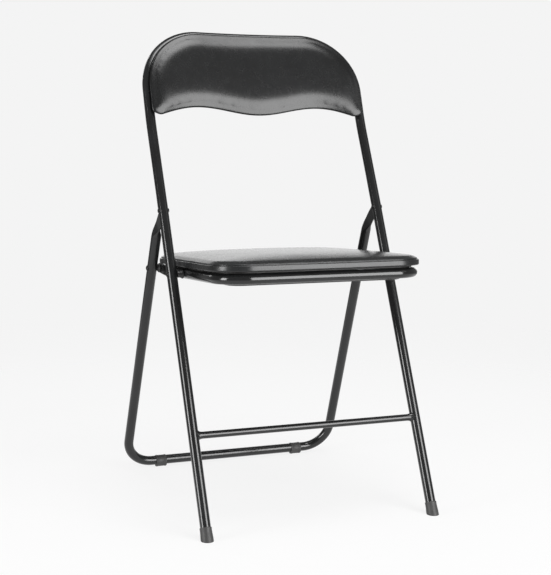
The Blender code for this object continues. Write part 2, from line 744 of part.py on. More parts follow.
def make_seat_pins():
    """The seat's hinge pins in the front legs, each with a spacer that keeps the ring off the leg."""
    inside = RING_OUTER - 2 * RING_R - GAP
    low, high = RING_OUTER + GAP, FRONT_INNER - GAP
    waist = low + 0.5 * (high - low)
    spacer = [(SPACER_R, high), (SPACER_R, waist), (SPACER_END_R, low + 0.001), (SPACER_END_R, low)]
    spacer += [(RIVET_R + GAP, low), (RIVET_R + GAP, high)]
    for name, side in SIDES:
        axis = side * X_AXIS
        pin = rivet_profile(inside, FRONT_OUTER + GAP)
        turned(f"seat_pin_{name}", pin, SEAT_PIN, axis, RIVET_STEEL, FRONT_BODY)
        turned(f"seat_spacer_{name}", spacer, SEAT_PIN, axis, NYLON, FRONT_BODY, closed=True)


def link_mesh(name, low, high):
    """A flat link with round ends about its two pins, as a slab along X."""
    span = REAR_PIN - LINK_PIN
    along = span.normalized()
    across = along.cross(X_AXIS)
    outline = []
    for centre, start in ((LINK_PIN, 90), (REAR_PIN, -90)):
        for step in range(9):
            angle = math.radians(start + 180 * step / 8)
            outline.append(centre + LINK_HALF * (math.cos(angle) * along + math.sin(angle) * across))
    layers = [[Vector((x, p.y, p.z)) for p in outline] for x in (low, high)]
    return slab(name, layers)


def make_links(pin_hole, rear_hole):
    """Each link hangs on a rivet through the ring; its far end meets the cone on the rear leg's rivet."""
    ring_inside = RING_OUTER - 2 * RING_R - GAP
    for name, side in SIDES:
        low, high = sorted((side * LINK_INNER, side * LINK_OUTER))
        link = add_object(
            f"fold_link_{name}", link_mesh(f"fold_link_{name}", low, high), PAINT, LINK_BODIES[name]
        )
        cut(link, pin_hole, rear_hole)
        axis = side * X_AXIS
        pin = rivet_profile(ring_inside, LINK_OUTER + GAP)
        turned(f"link_pin_{name}", pin, LINK_PIN, axis, RIVET_STEEL, SEAT_BODY)
        washer = ring_profile(RIVET_R + GAP, WASHER_R, WASHER_R, RING_OUTER + GAP, LINK_INNER - GAP)
        turned(f"link_washer_{name}", washer, LINK_PIN, axis, NYLON, SEAT_BODY, closed=True)


def make_rear_pins():
    """The rear legs' rivets, and the cone on each that widens towards the link."""
    cone_end = LINK_OUTER + GAP
    for name, side in SIDES:
        axis = side * X_AXIS
        inner_face = REAR_PIN_HALF - TUBE_R - GAP
        cone = [(CONE_SMALL_R, inner_face), (CONE_LARGE_R, cone_end + 0.0012), (CONE_LARGE_R, cone_end)]
        cone += [(RIVET_R + GAP, cone_end), (RIVET_R + GAP, inner_face)]
        turned(f"rear_cone_{name}", cone, REAR_PIN, axis, PLASTIC, REAR_BODY, closed=True)
        rivet = rivet_profile(cone_end, REAR_PIN_HALF + TUBE_R + GAP, False, REAR_HEAD_R, REAR_HEAD_H)
        turned(f"rear_pin_{name}", rivet, REAR_PIN, axis, RIVET_STEEL, REAR_BODY)


def make_seat_screws():
    """Four screws from below, through the lower board, into the upper one."""
    top = RING_R + GAP + SCREW_DEPTH
    under = -RING_R - UNDER_DROP - GAP
    profile = [(0, top), (SCREW_R, top - 0.0008), (SCREW_R, under), (SCREW_HEAD_R, under)]
    profile += [(0.8 * SCREW_HEAD_R, under - 0.6 * SCREW_HEAD_H), (0, under - SCREW_HEAD_H)]
    cutters = []
    for end, y in zip(("front", "rear"), SEAT_SCREW_Y):
        for name, side in SIDES:
            place = seat_point(side * SEAT_SCREW_X, y, 0)
            title = f"seat_screw_{end}_{name}"
            turned(title, profile, place, SEAT_UP, RIVET_STEEL, SEAT_BODY, steps=12)
            cutters.append(rod_cutter(f"hole_{title}", place, SEAT_UP, SCREW_R + GAP, 4 * top, 12))
    cut(bpy.data.objects["seat_board"], *cutters)
    cut(bpy.data.objects["seat_under_board"], *cutters)


def main():
    shank = RIVET_R + GAP
    holes = {
        name: rod_cutter(f"bore_{name}", place, X_AXIS, shank, 0.5)
        for name, place in (("pivot", PIVOT), ("seat", SEAT_PIN), ("link", LINK_PIN), ("rear", REAR_PIN))
    }
    screw_holes = []
    make_rest_screws(screw_holes)
    slots = [slot_cutter(side, name) for name, side in SIDES]
    make_front_frame([holes["pivot"], holes["seat"], *slots, *screw_holes])
    make_stretcher()
    make_feet()
    board = make_backrest()
    cut(board, *screw_holes)
    make_rear_frame([holes["pivot"], holes["rear"]])
    make_glides()
    make_seat_ring([holes["seat"], holes["link"]])
    make_seat_panels()
    make_seat_screws()
    make_pivots()
    make_seat_pins()
    make_links(holes["link"], holes["rear"])
    make_rear_pins()


main()
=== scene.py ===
"""Finished look of a padded steel folding chair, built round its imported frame.

Metres, +Z up, +Y to the back of the chair. The chair mirrors across X = 0, and left is -X.
"""

import json
import math

import bmesh
import bpy
from mathutils import Matrix, Vector, noise


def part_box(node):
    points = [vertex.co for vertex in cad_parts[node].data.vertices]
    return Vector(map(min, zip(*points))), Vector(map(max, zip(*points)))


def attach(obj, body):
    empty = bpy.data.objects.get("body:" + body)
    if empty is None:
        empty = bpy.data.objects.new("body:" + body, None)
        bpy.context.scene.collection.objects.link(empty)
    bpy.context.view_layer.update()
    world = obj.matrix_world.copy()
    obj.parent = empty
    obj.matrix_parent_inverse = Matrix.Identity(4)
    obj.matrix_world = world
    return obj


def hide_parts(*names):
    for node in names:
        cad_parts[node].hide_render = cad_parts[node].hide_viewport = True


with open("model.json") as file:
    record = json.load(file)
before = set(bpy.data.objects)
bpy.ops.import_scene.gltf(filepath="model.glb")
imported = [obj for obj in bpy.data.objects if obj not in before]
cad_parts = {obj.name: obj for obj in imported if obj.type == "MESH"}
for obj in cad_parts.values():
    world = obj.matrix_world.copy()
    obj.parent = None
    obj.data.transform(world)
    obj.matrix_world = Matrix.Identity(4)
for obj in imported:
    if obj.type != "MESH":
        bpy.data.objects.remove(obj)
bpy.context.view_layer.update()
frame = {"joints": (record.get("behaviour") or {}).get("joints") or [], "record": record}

# Tubes and fits
TUBE_R = 0.0085
RING_R = 0.00825
STRETCHER_R = 0.0057
GAP = 0.0003
TUBE_SIDES = 40
SHARP_ANGLE = math.radians(42)

# Front frame above the hinges
BACK_LEAN = math.radians(25.8)
BACK_RUN = 0.164
REST_LEAN = math.radians(19.4)
REST_RUN = 0.1606
TOP_CORNER_R = 0.102
TOP_BOW = 0.012
BEND_REACH = 0.018
STRETCHER_Z = 0.150
WELD_R = 0.0085
WELD_LENGTH = 0.007
WELD_RIPPLE = 0.00022
WELD_RIPPLE_LENGTH = 1 / 700

# Feet and glides
FOOT_LENGTH = 0.0205
FOOT_TOP_R = 0.0095
FOOT_BOTTOM_R = 0.0101
FOOT_FLOOR = 0.005
GLIDE_R = 0.0109
GLIDE_DROP = 0.0014
GLIDE_LENGTH = 0.0205

# Rear frame
REAR_BAR_Z = 0.0119
REAR_SPLAY = 0.0074
REAR_CORNER_R = 0.049
REAR_BEND_DROP = 0.046
REAR_BEND_PULL = 0.024
PLATE_HALF_THICK = 0.00175
PLATE_HALF_WIDE = 0.0110
PLATE_FLAT_FROM = 0.45
PLATE_NARROW_TO = 0.3
PLATE_SHOULDER = 0.0025
NOSE_R = 0.0066
SLOT_HALF = 0.00225
SLOT_LOW = -0.0439
SLOT_HIGH = 0.0082

# Seat
SEAT_SLOPE = math.radians(2.8)
SEAT_CORNER_R = 0.057
RING_INSET = 0.003
BOARD_INSET = 0.012
BOARD_THICK = 0.003
CUSHION_BAND = 0.0115
CUSHION_CROWN = 0.0125
SIDE_PULL = 0.0009
UNDER_INSET = 0.030
UNDER_DROP = 0.0035
UNDER_THICK = 0.006

# Backrest
PAD_LOW_CORNER = 0.0125
PAD_TIP = 0.0068
PAD_TIP_X = 0.182
PAD_PEAK = 0.0238
PAD_PEAK_X = 0.107
PAD_DIP = 0.0110
PAD_TOP_INSET = 0.001
BACK_BOARD = 0.003
REST_BOARD_INSET = 0.003
PAD_EDGE = 0.006
PAD_CROWN = 0.007
LUMPS_PER_M = 22
LUMP_SHARE = 0.035

# Rivets, washers, links and screws
RIVET_R = 0.003
RIVET_HEAD_R = 0.0042
RIVET_HEAD_H = 0.0014
REAR_HEAD_R = 0.0050
REAR_HEAD_H = 0.0022
BUSH_R = 0.0050
WASHER_R = 0.0085
SPACER_R = 0.0055
SPACER_END_R = 0.0075
LINK_THICK = 0.003
LINK_STANDOFF = 0.0035
LINK_HALF = 0.0085
CONE_SMALL_R = 0.0042
CONE_LARGE_R = 0.0078
SCREW_R = 0.0018
SCREW_HEAD_R = 0.0042
SCREW_HEAD_H = 0.0020
SCREW_DEPTH = 0.0015

# Camera and studio
CAMERA_AT = Vector((-0.79651, -2.02110, 0.62164))
CAMERA_FORWARD = Vector((0.365935, 0.922922, -0.119607))
CAMERA_RIGHT = Vector((0.929791, -0.368059, 0.004625))
CAMERA_LENS = 79.15
LIGHTS_LOOK_AT = Vector((0, 0, 0.4))
BACKDROP = 0.905
FLOOR_R = 2.4

# Places taken from the frame
JOINT_AT = {joint["name"]: Vector(joint["pos_m"]) for joint in frame["joints"]}
MOUNT_AT = {mount["name"]: Vector(mount["pos_m"]) for mount in frame["record"]["mounts"]}
SIDES = (("left", -1), ("right", 1))
X_AXIS = Vector((1, 0, 0))
Z_AXIS = Vector((0, 0, 1))


def middle(node):
    low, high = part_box(node)
    return (low + high) / 2


def on_middle_plane(point):
    return Vector((0, point.y, point.z))


def along_seat(y, up):
    """How far back from the hinge pins, along the seat, a point at that Y and height over the ring lies."""
    return (y - SEAT_PIN.y - up * math.sin(SEAT_SLOPE)) / math.cos(SEAT_SLOPE)


PIVOT = JOINT_AT["rear_fold"]
SEAT_PIN = JOINT_AT["seat_fold"]
LINK_PIN = JOINT_AT["link_left_fold"]
REAR_PIN = on_middle_plane(middle("rear_cone_left"))
FRONT_HALF = MOUNT_AT["foot_right"].x
FOOT = on_middle_plane(MOUNT_AT["foot_right"])
GLIDE_X = MOUNT_AT["glide_right"].x
REAR_Y = MOUNT_AT["glide_right"].y

# Places worked out from those
FRONT_INNER = FRONT_HALF - TUBE_R
FRONT_OUTER = FRONT_HALF + TUBE_R
LEG_UP = (PIVOT - FOOT).normalized()
BACK_UP = Vector((0, math.sin(BACK_LEAN), math.cos(BACK_LEAN)))
REST_UP = Vector((0, math.sin(REST_LEAN), math.cos(REST_LEAN)))
REST_OUT = Vector((0, -math.cos(REST_LEAN), math.sin(REST_LEAN)))
REST_BASE = PIVOT + BACK_RUN * BACK_UP
SEAT_BACK = Vector((0, math.cos(SEAT_SLOPE), -math.sin(SEAT_SLOPE)))
SEAT_UP = Vector((0, math.sin(SEAT_SLOPE), math.cos(SEAT_SLOPE)))
SEAT_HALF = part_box("seat_cushion")[1].x
CUSHION_BASE = RING_R + GAP + BOARD_THICK
BAND_EASE = 0.003
SEAT_FRONT = along_seat(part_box("seat_cushion")[0].y, CUSHION_BASE + BAND_EASE)
SEAT_REAR = along_seat(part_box("seat_cushion")[1].y, CUSHION_BASE + CUSHION_BAND - BAND_EASE)
RING_OUTER = SEAT_HALF - RING_INSET
LINK_INNER = RING_OUTER + LINK_STANDOFF
LINK_OUTER = LINK_INNER + LINK_THICK
REAR_HALF_HIGH = FRONT_HALF
REAR_HALF_LOW = FRONT_HALF + REAR_SPLAY
REAR_SLOPE = (REAR_Y - REAR_PIN.y) / (REAR_PIN.z - REAR_BAR_Z)
REAR_LEAN = math.atan(REAR_SLOPE)
REAR_TOP_Z = PIVOT.z - REAR_BEND_DROP
REAR_PIN_HALF = REAR_HALF_HIGH + (REAR_HALF_LOW - REAR_HALF_HIGH) * (
    (REAR_TOP_Z - REAR_PIN.z) / (REAR_TOP_Z - REAR_BAR_Z)
)


def seat_place(x, back, up):
    """A point of the seat: back from its hinge pins along the seat, up from the ring's centre plane."""
    return SEAT_PIN + x * X_AXIS + back * SEAT_BACK + up * SEAT_UP


def rest_place(x, up, out):
    """A point of the bowed backrest: up from the bend in the legs, out towards the sitter."""
    share = min(abs(x) / FRONT_HALF, 1)
    bow = TOP_BOW * (1 - share * share)
    return REST_BASE + x * X_AXIS + up * REST_UP + (out - bow) * REST_OUT


def rear_leg_point(z):
    return Vector((0, REAR_Y - (z - REAR_BAR_Z) * REAR_SLOPE, z))


# Shader maths

class Field:
    """A number or colour that varies over a surface. A sum or product with it adds a Math node."""

    def __init__(self, finish, socket):
        self.finish = finish
        self.socket = socket

    def maths(self, operation, *values):
        return self.finish.node("ShaderNodeMath", {"operation": operation}, dict(enumerate(values)))

    def __add__(self, other):
        return self.maths("ADD", self, other)

    def __mul__(self, other):
        return self.maths("MULTIPLY", self, other)

    __radd__ = __add__
    __rmul__ = __mul__

    def between(self, low, high):
        """0 below low, 1 above high, and a smooth step between them."""
        settings = {"interpolation_type": "SMOOTHSTEP"}
        inputs = {"Value": self, "From Min": low, "From Max": high}
        return self.finish.node("ShaderNodeMapRange", settings, inputs)


class Finish:
    """A material whose nodes are made by one method."""

    def __init__(self, name, roughness, metallic=0.0):
        self.material = bpy.data.materials.new(name)
        self.material.use_nodes = True
        self.tree = self.material.node_tree
        self.shader = self.tree.nodes["Principled BSDF"]
        self.shader.inputs["Roughness"].default_value = roughness
        self.shader.inputs["Metallic"].default_value = metallic
        self.place = self.node("ShaderNodeTexCoord", output="Object")

    def node(self, kind, settings=None, inputs=None, output=0):
        made = self.tree.nodes.new(kind)
        for name, value in (settings or {}).items():
            setattr(made, name, value)
        for name, value in (inputs or {}).items():
            self.feed(made.inputs[name], value)
        return Field(self, made.outputs[output])

    def feed(self, socket, value):
        if isinstance(value, Field):
            self.tree.links.new(value.socket, socket)
        else:
            socket.default_value = value

    def give(self, name, value):
        self.feed(self.shader.inputs[name], value)

    def grain(self, size, detail=2.0, roughness=0.5, distortion=0.0):
        """Soft noise from 0 to 1 whose features are about the size given, in metres."""
        inputs = {"Vector": self.place, "Scale": 1 / size, "Detail": detail}
        inputs |= {"Roughness": roughness, "Distortion": distortion}
        return self.node("ShaderNodeTexNoise", {}, inputs)

    def cells(self, size, feature="F1"):
        """Distance from the middles of small cells of about that size, in cells."""
        inputs = {"Vector": self.place, "Scale": 1 / size}
        return self.node("ShaderNodeTexVoronoi", {"feature": feature}, inputs, "Distance")

    def blend(self, share, first, second):
        """One colour turning into the other as the share goes from 0 to 1."""
        made = self.tree.nodes.new("ShaderNodeMix")
        made.data_type = "RGBA"
        self.feed(made.inputs["Factor"], share)
        self.feed(made.inputs[6], first)
        self.feed(made.inputs[7], second)
        return Field(self, made.outputs[2])

    def bump(self, height, depth):
        """A surface relief whose height runs from 0 to 1 over a depth in metres."""
        return self.node("ShaderNodeBump", {}, {"Height": height, "Distance": depth, "Strength": 1.0})


def shade(level, warm=0.0):
    """A near-neutral colour of that level, as RGBA."""
    return (level * (1 + warm), level, level * (1 - warm), 1)


def gloss_paint():
    """Black powder coat: a faint orange peel, small changes of gloss, and a thin haze of dust."""
    paint = Finish("gloss_paint", 0.13)
    haze = paint.grain(0.06, 3.0).between(0.35, 0.75)
    paint.give("Base Color", paint.blend(haze, shade(0.0085), shade(0.0125, -0.04)))
    paint.give("Roughness", 0.115 + 0.04 * paint.grain(0.018, 2.0) + 0.02 * haze)
    peel = paint.grain(0.0022, 1.0)
    nibs = paint.cells(0.006).between(0.10, 0.03)
    paint.give("Normal", paint.bump(peel + 0.3 * nibs, 0.000022))
    return paint.material


def black_vinyl(name, roughness, level, grain_depth):
    """Calendered vinyl: pebbled grain with fine pores, and a sheen that varies slightly."""
    vinyl = Finish(name, roughness)
    vinyl.give("Specular IOR Level", 0.42)
    patch = vinyl.grain(0.05, 2.0).between(0.3, 0.7)
    vinyl.give("Base Color", vinyl.blend(patch, shade(0.87 * level, -0.02), shade(1.13 * level, -0.03)))
    pebble = vinyl.cells(0.0011, "SMOOTH_F1")
    pores = vinyl.grain(0.0005, 1.0)
    vinyl.give("Roughness", roughness - 0.03 + 0.06 * vinyl.grain(0.012, 2.0) + 0.05 * pebble)
    vinyl.give("Normal", vinyl.bump(0.75 * pebble + 0.35 * pores, grain_depth))
    return vinyl.material


def grey_plastic():
    """Moulded polyethylene: dark grey, matt, with a spark-eroded texture."""
    plastic = Finish("grey_plastic", 0.5)
    plastic.give("Base Color", plastic.blend(plastic.grain(0.008), shade(0.026), shade(0.036, 0.02)))
    plastic.give("Roughness", 0.46 + 0.12 * plastic.grain(0.0016))
    plastic.give("Normal", plastic.bump(plastic.grain(0.0006, 1.0), 0.00003))
    return plastic.material


def black_rivet():
    """Black zinc on steel, rubbed brighter in small spots."""
    rivet = Finish("black_rivet", 0.34, 0.85)
    rubbed = rivet.grain(0.0016, 3.0).between(0.62, 0.8)
    rivet.give("Base Color", rivet.blend(rubbed, shade(0.022), shade(0.09, 0.03)))
    rivet.give("Roughness", 0.3 + 0.14 * rivet.grain(0.0028))
    rivet.give("Normal", rivet.bump(rivet.grain(0.0007, 1.0), 0.000012))
    return rivet.material


def painted_board():
    """Hardboard painted black: pressed fibre texture under a dull coat."""
    board = Finish("painted_board", 0.55)
    fibre = board.grain(0.0015, 3.0, 0.65, 0.6)
    board.give("Base Color", board.blend(fibre, shade(0.011, 0.03), shade(0.02, 0.05)))
    board.give("Roughness", 0.48 + 0.16 * fibre)
    weave = board.cells(0.0013)
    board.give("Normal", board.bump(0.6 * fibre + 0.4 * weave, 0.00008))
    return board.material


def black_nylon():
    nylon = Finish("black_nylon", 0.42)
    nylon.give("Base Color", nylon.blend(nylon.grain(0.004), shade(0.018), shade(0.026)))
    nylon.give("Roughness", 0.38 + 0.1 * nylon.grain(0.001))
    nylon.give("Normal", nylon.bump(nylon.grain(0.0008, 1.0), 0.00002))
    return nylon.material


PAINT = gloss_paint()
# The backrest's vinyl is the seat's vinyl at half its colour level. This is painted shade that darkens the
# backrest pad.
SEAT_VINYL = black_vinyl("seat_vinyl", 0.26, 0.013, 0.00003)
SHADED_REST_VINYL = black_vinyl("rest_vinyl_painted_shade", 0.24, 0.0065, 0.000035)
PLASTIC = grey_plastic()
RIVET = black_rivet()
BOARD = painted_board()
NYLON = black_nylon()


# Mesh helpers

def clean(form):
    bmesh.ops.remove_doubles(form, verts=form.verts, dist=2e-6)
    bmesh.ops.dissolve_degenerate(form, edges=form.edges, dist=1e-6)
    bmesh.ops.recalc_face_normals(form, faces=form.faces)


def soften(form, width, angle=35, segments=2):
    """Rounds every edge sharper than the angle."""
    edges = [edge for edge in form.edges if edge.is_manifold]
    sharp = [edge for edge in edges if edge.calc_face_angle(0) > math.radians(angle)]
    bmesh.ops.bevel(
        form,
        geom=sharp,
        offset=width,
        affect="EDGES",
        segments=segments,
        profile=0.5,
        material=-1,
        clamp_overlap=True,
    )


def object_from(name, form):
    """Makes the form an object of the scene, and frees it."""
    mesh = bpy.data.meshes.new(name)
    form.to_mesh(mesh)
    form.free()
    made = bpy.data.objects.new(name, mesh)
    bpy.context.scene.collection.objects.link(made)
    return made


def piece_from(name, form, material, body, node):
    """Makes the form a piece that rides on a body and stands for a CAD node."""
    piece = object_from(name, form)
    piece.data.materials.append(material)
    piece.data.shade_smooth()
    piece.data.set_sharp_from_angle(angle=SHARP_ANGLE)
    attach(piece, body)
    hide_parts(node)
    return piece


def turning_to(place, axis):
    """The matrix that stands a turned piece on a place, its height along the axis."""
    return Matrix.Translation(place) @ Vector(axis).to_track_quat("Z", "X").to_matrix().to_4x4()


def turned(profile, place, axis, steps=40, closed=False):
    """A form spun from (radius, height) points."""
    form = bmesh.new()
    spots = [form.verts.new((radius, 0, height)) for radius, height in profile]
    edges = [form.edges.new(pair) for pair in zip(spots, spots[1:])]
    if closed:
        edges.append(form.edges.new((spots[-1], spots[0])))
    bmesh.ops.spin(
        form, geom=spots + edges, axis=Z_AXIS, cent=(0, 0, 0), angle=2 * math.pi, steps=steps, use_merge=True
    )
    clean(form)
    bmesh.ops.transform(form, matrix=turning_to(place, axis), verts=form.verts)
    return form


def box_form(low, high, turn):
    """A box between two corners, then placed by a matrix."""
    form = bmesh.new()
    shape = Matrix.Translation((high + low) / 2) @ Matrix.Diagonal((*(high - low), 1))
    bmesh.ops.create_cube(form, size=1, matrix=turn @ shape)
    return form


def cut_away(form, *cutters):
    """The form with the cutters' shapes taken out of it."""
    body = object_from("uncut", form)
    tools = [object_from("cutter", cutter) for cutter in cutters]
    for tool in tools:
        hole = body.modifiers.new("hole", "BOOLEAN")
        hole.operation = "DIFFERENCE"
        hole.solver = "EXACT"
        hole.object = tool
    bpy.context.view_layer.update()
    cut = bmesh.new()
    cut.from_mesh(body.evaluated_get(bpy.context.evaluated_depsgraph_get()).data)
    for thing in [body, *tools]:
        bpy.data.objects.remove(thing)
    return cut


def squared_circle(turn, half_x, half_y, squareness):
    """A point of a superellipse: squareness 2 is an ellipse, and more is flatter-sided."""
    c, s = math.cos(turn), math.sin(turn)
    x = math.copysign(abs(c) ** (2 / squareness), c) * half_x
    y = math.copysign(abs(s) ** (2 / squareness), s) * half_y
    return Vector((x, y, 0))


def newest(geometry, kind):
    return [item for item in geometry if isinstance(item, kind)]


def swept(stations, sides=TUBE_SIDES, closed=False):
    """A form through stations of (matrix, half_x, half_y, squareness), each in its matrix's XY plane."""
    form = bmesh.new()
    turn = form.verts.layers.float.new("turn")
    ring = bmesh.ops.create_circle(form, segments=sides, radius=1)["verts"]
    for spot in ring:
        spot[turn] = math.atan2(spot.co.y, spot.co.x)
    edges = form.edges[:]
    if not closed:
        form.faces.new(ring)
    path = stations + stations[:1] if closed else stations
    for i, (matrix, half_x, half_y, squareness) in enumerate(path):
        if i:
            made = bmesh.ops.extrude_edge_only(form, edges=edges)["geom"]
            ring = newest(made, bmesh.types.BMVert)
            edges = [edge for edge in newest(made, bmesh.types.BMEdge) if edge.is_boundary]
        for spot in ring:
            spot.co = matrix @ squared_circle(spot[turn], half_x, half_y, squareness)
    if not closed:
        bmesh.ops.contextual_create(form, geom=edges)
    clean(form)
    return form


def carried_along(points, across, closed=False):
    """A matrix at each point of a path: Z along it, and X carried from point to point without a twist."""
    matrices = []
    last = len(points) - 1
    for i, point in enumerate(points):
        before = points[i - 1] if i or closed else point
        after = points[(i + 1) % len(points)] if i < last or closed else point
        along = (after - before).normalized()
        across = (across - across.dot(along) * along).normalized()
        turn = Matrix((across, along.cross(across), along)).transposed()
        matrices.append(Matrix.Translation(point) @ turn.to_4x4())
    return matrices


def round_stations(points, across, radius, closed=False):
    return [(matrix, radius, radius, 2) for matrix in carried_along(points, across, closed)]


def curve_between(start, control, end, steps):
    """Points of a quadratic curve, its ends included."""
    shares = [step / steps for step in range(steps + 1)]
    return [(1 - t) ** 2 * start + 2 * t * (1 - t) * control + t * t * end for t in shares]


def run_between(start, end, steps):
    """Points of a straight run, without its ends."""
    return [start.lerp(end, step / steps) for step in range(1, steps)]


def mirrored(point):
    return Vector((-point.x, point.y, point.z))


# Front frame

def front_frame_points():
    """The centre line of the front frame from the left foot, over the top, to the right foot."""
    foot = FOOT + (FOOT_FLOOR + 0.001) * LEG_UP / LEG_UP.z
    hinge_bend = curve_between(PIVOT - BEND_REACH * LEG_UP, PIVOT, PIVOT + BEND_REACH * BACK_UP, 6)
    rest_start, rest_end = REST_BASE - BEND_REACH * BACK_UP, REST_BASE + BEND_REACH * REST_UP
    rest_bend = curve_between(rest_start, REST_BASE, rest_end, 10)
    side = [foot] + run_between(foot, hinge_bend[0], 12) + hinge_bend
    side += run_between(hinge_bend[-1], rest_bend[0], 6) + rest_bend
    right = [Vector((FRONT_HALF, point.y, point.z)) for point in side]
    flat = FRONT_HALF - TOP_CORNER_R
    upright = REST_RUN - TOP_CORNER_R - BEND_REACH
    right += [rest_place(FRONT_HALF, BEND_REACH + upright * step / 5, 0) for step in range(1, 5)]
    for step in range(25):
        angle = math.pi / 2 * step / 24
        up = REST_RUN - TOP_CORNER_R * (1 - math.sin(angle))
        right.append(rest_place(flat + TOP_CORNER_R * math.cos(angle), up, 0))
    right += [rest_place(flat * (1 - step / 8), REST_RUN, 0) for step in range(1, 9)]
    return [mirrored(point) for point in right[:-1]] + right[::-1]


def hinge_slot(side):
    """The slot in the back of a front leg that takes the rear leg's flat end."""
    leg_back = LEG_UP.cross(X_AXIS)
    turn = Matrix((X_AXIS, leg_back, LEG_UP)).transposed().to_4x4()
    place = Matrix.Translation(PIVOT + side * FRONT_HALF * X_AXIS) @ turn
    low = Vector((-SLOT_HALF, -NOSE_R - GAP, SLOT_LOW))
    high = Vector((SLOT_HALF, 2 * TUBE_R, SLOT_HIGH))
    return box_form(low, high, place)


def make_front_frame():
    form = swept(round_stations(front_frame_points(), X_AXIS, TUBE_R))
    form = cut_away(form, *[hinge_slot(side) for _, side in SIDES])
    piece_from("front_tube", form, PAINT, "front_frame", "front_frame_tube")


def make_stretcher():
    """The cross bar, and at each end a weld bead that flares out to lie along the leg."""
    centre = FOOT + STRETCHER_Z * LEG_UP / LEG_UP.z
    reach = FRONT_INNER + 0.5 * TUBE_R
    points = [centre + reach * share / 6 * X_AXIS for share in range(-6, 7)]
    form = swept(round_stations(points, Z_AXIS, STRETCHER_R))
    piece_from("stretcher_tube", form, PAINT, "front_frame", "front_stretcher")
    for name, side in SIDES:
        bead = make_weld(centre, side)
        piece_from(f"weld_bead_{name}", bead, PAINT, "front_frame", f"stretcher_weld_{name}")


def make_weld(centre, side):
    """A concave fillet from the bar's surface to the leg's, with the slight ripple of a weld."""
    steps = 10
    root = STRETCHER_R - 0.0006
    profile = [(root, -0.0012)]
    for step in range(steps + 1):
        angle = math.pi / 2 * step / steps
        radius = STRETCHER_R + (WELD_R - STRETCHER_R) * (1 - math.cos(angle))
        profile.append((radius, WELD_LENGTH * math.sin(angle)))
    profile.append((root, WELD_LENGTH + 0.003))
    start = centre + side * (FRONT_INNER - WELD_LENGTH) * X_AXIS
    form = turned(profile, start, side * X_AXIS, steps=48, closed=True)
    over_leg = X_AXIS.cross(LEG_UP)
    for spot in form.verts:
        share = min(max((side * spot.co.x - FRONT_INNER + WELD_LENGTH) / WELD_LENGTH, 0), 1)
        from_leg = min(abs((spot.co - centre).dot(over_leg)), 0.96 * TUBE_R)
        wrap = TUBE_R - math.sqrt(TUBE_R**2 - from_leg**2)
        spot.co += side * share**2 * wrap * X_AXIS
        ripple = WELD_RIPPLE * share * noise.noise(spot.co / WELD_RIPPLE_LENGTH)
        spot.co += ripple * (spot.co - centre - side * FRONT_INNER * X_AXIS).normalized()
    bmesh.ops.recalc_face_normals(form, faces=form.faces)
    return form


def cut_level(form):
    """Cuts the form off level with the floor and closes it."""
    geometry = form.verts[:] + form.edges[:] + form.faces[:]
    cut = bmesh.ops.bisect_plane(
        form, geom=geometry, dist=1e-6, plane_co=(0, 0, 0), plane_no=(0, 0, -1), clear_outer=True
    )["geom_cut"]
    bmesh.ops.edgenet_fill(form, edges=newest(cut, bmesh.types.BMEdge))
    bmesh.ops.recalc_face_normals(form, faces=form.faces)


def make_feet():
    """Ferrules: a rolled lip at the top, a slight taper, and a sole cut level with the floor."""
    bore = TUBE_R + GAP
    top = FOOT_LENGTH
    lip = 0.0007
    profile = [(0, FOOT_FLOOR), (bore, FOOT_FLOOR), (bore, top - lip), (bore + 0.0002, top)]
    profile += [(FOOT_TOP_R - 0.0002, top), (FOOT_TOP_R + 0.0001, top - lip)]
    profile.append((FOOT_TOP_R + 0.0001, top - 0.0022))
    profile += [(FOOT_TOP_R - 0.0001, top - 0.0029), (FOOT_TOP_R + 0.0001, 0.55 * top)]
    profile += [(FOOT_BOTTOM_R, 0.2 * top), (FOOT_BOTTOM_R, -FOOT_BOTTOM_R), (0, -FOOT_BOTTOM_R)]
    for name, side in SIDES:
        form = turned(profile, FOOT + side * FRONT_HALF * X_AXIS, LEG_UP, steps=48)
        cut_level(form)
        soften(form, 0.0004, angle=50)
        piece_from(f"ferrule_{name}", form, PLASTIC, "front_frame", f"front_foot_{name}")


# Rear frame

def plate_half_wide(distance):
    """The flat end is narrow round the pivot, inside the front leg, and widens outside it."""
    near = PLATE_NARROW_TO * NOSE_R
    share = min(max((distance - near) / (TUBE_R + PLATE_SHOULDER - near), 0), 1)
    return NOSE_R + (PLATE_HALF_WIDE - NOSE_R) * share * share * (3 - 2 * share)


def rear_frame_stations():
    """Sections of the rear frame: a pressed flat top that curves in to the hinge, and round tube below it."""
    start = rear_leg_point(REAR_TOP_Z)
    leg = Vector((0, -math.sin(REAR_LEAN), math.cos(REAR_LEAN)))
    steps, nose_steps = 32, 12
    crown = curve_between(start, start + REAR_BEND_PULL * leg, PIVOT, steps)
    tip = (crown[-1] - crown[-2]).normalized()
    out = REAR_HALF_HIGH * X_AXIS
    sections = []
    for step, centre in enumerate(crown):
        flatness = min(step / steps / PLATE_FLAT_FROM, 1)
        ease = flatness * flatness * (3 - 2 * flatness)
        thick = TUBE_R + (PLATE_HALF_THICK - TUBE_R) * ease
        wide = TUBE_R + (plate_half_wide((centre - PIVOT).length) - TUBE_R) * ease
        sections.append((centre + out, thick, wide, 2 + 4 * ease))
    for step in range(1, nose_steps + 1):
        share = math.sin(math.pi / 2 * step / nose_steps)
        wide = max(NOSE_R * math.sqrt(max(1 - share * share, 0)), 0.0008)
        sections.append((PIVOT + out + share * NOSE_R * tip, PLATE_HALF_THICK - 0.0004 * share**8, wide, 6))
    return sections[::-1] + rear_round_sections()


